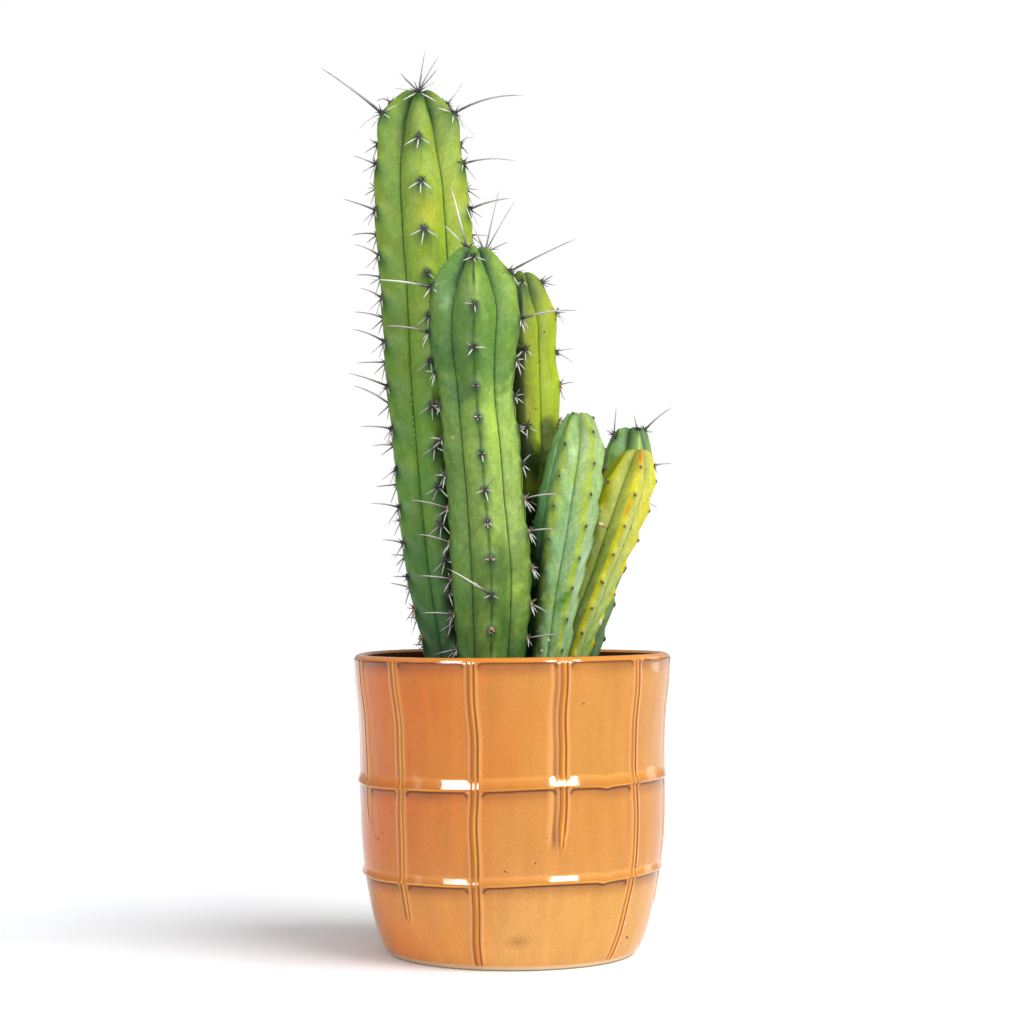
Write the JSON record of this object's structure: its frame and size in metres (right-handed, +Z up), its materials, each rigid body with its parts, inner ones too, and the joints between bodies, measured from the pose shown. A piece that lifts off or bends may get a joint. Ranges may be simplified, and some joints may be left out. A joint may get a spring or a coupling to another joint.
{
  "type": "potted blue myrtle cactus",
  "caption": "Potted blue myrtle cactus: ribbed columnar stems with spine clusters, rooted side by side in soil in a round glazed pot with trailed grid relief.",
  "frame": {"origin": "centre of the pot's flat underside, on the surface it stands on", "axes": "+Z up the stems, -Y towards the front, +X to the right seen from the front, so the tall stem is on the -X side"},
  "size_m": [0.1641, 0.1402, 0.3941],
  "materials": {
    "pot_glaze": "gloss",
    "potting_mix": "matte",
    "skin_green": "satin",
    "skin_blue_green": "satin",
    "skin_yellow_green": "satin",
    "spine": "satin"
  },
  "bodies": {
    "root": {"back_stem": "skin_yellow_green", "back_stem_spines_rib1_areole1": "spine", "back_stem_spines_rib2_areole1": "spine", "back_stem_spines_rib3_areole1": "spine", "back_stem_spines_rib4_areole1": "spine", "front_stem": "skin_blue_green", "leaning_stem": "skin_yellow_green", "middle_stem": "skin_blue_green", "middle_stem_spines_rib1_areole1": "spine", "middle_stem_spines_rib1_areole2": "spine", "middle_stem_spines_rib2_areole1": "spine", "middle_stem_spines_rib2_areole2": "spine", "middle_stem_spines_rib3_areole1": "spine", "middle_stem_spines_rib3_areole2": "spine", "middle_stem_spines_rib4_areole1": "spine", "middle_stem_spines_rib5_areole1": "spine", "middle_stem_spines_rib5_areole2": "spine", "pot": "pot_glaze", "rear_stem": "skin_blue_green", "rear_stem_spines_rib1_areole1": "spine", "rear_stem_spines_rib2_areole1": "spine", "rear_stem_spines_rib3_areole1": "spine", "rear_stem_spines_rib4_areole1": "spine", "rear_stem_spines_rib5_areole1": "spine", "soil": "potting_mix", "tall_stem": "skin_green", "tall_stem_spines_rib1_areole1": "spine", "tall_stem_spines_rib1_areole2": "spine", "tall_stem_spines_rib1_areole3": "spine", "tall_stem_spines_rib1_areole4": "spine", "tall_stem_spines_rib2_areole1": "spine", "tall_stem_spines_rib2_areole2": "spine", "tall_stem_spines_rib2_areole3": "spine", "tall_stem_spines_rib2_areole4": "spine", "tall_stem_spines_rib3_areole1": "spine", "tall_stem_spines_rib3_areole2": "spine", "tall_stem_spines_rib3_areole3": "spine", "tall_stem_spines_rib3_areole4": "spine", "tall_stem_spines_rib4_areole1": "spine", "tall_stem_spines_rib4_areole2": "spine", "tall_stem_spines_rib4_areole3": "spine", "tall_stem_spines_rib4_areole4": "spine", "tall_stem_spines_rib5_areole1": "spine", "tall_stem_spines_rib5_areole2": "spine", "tall_stem_spines_rib5_areole3": "spine", "tall_stem_spines_rib5_areole4": "spine", "tall_stem_spines_rib6_areole1": "spine", "tall_stem_spines_rib6_areole2": "spine", "tall_stem_spines_rib6_areole3": "spine", "tall_stem_spines_rib6_areole4": "spine"}
  },
  "joints": []
}
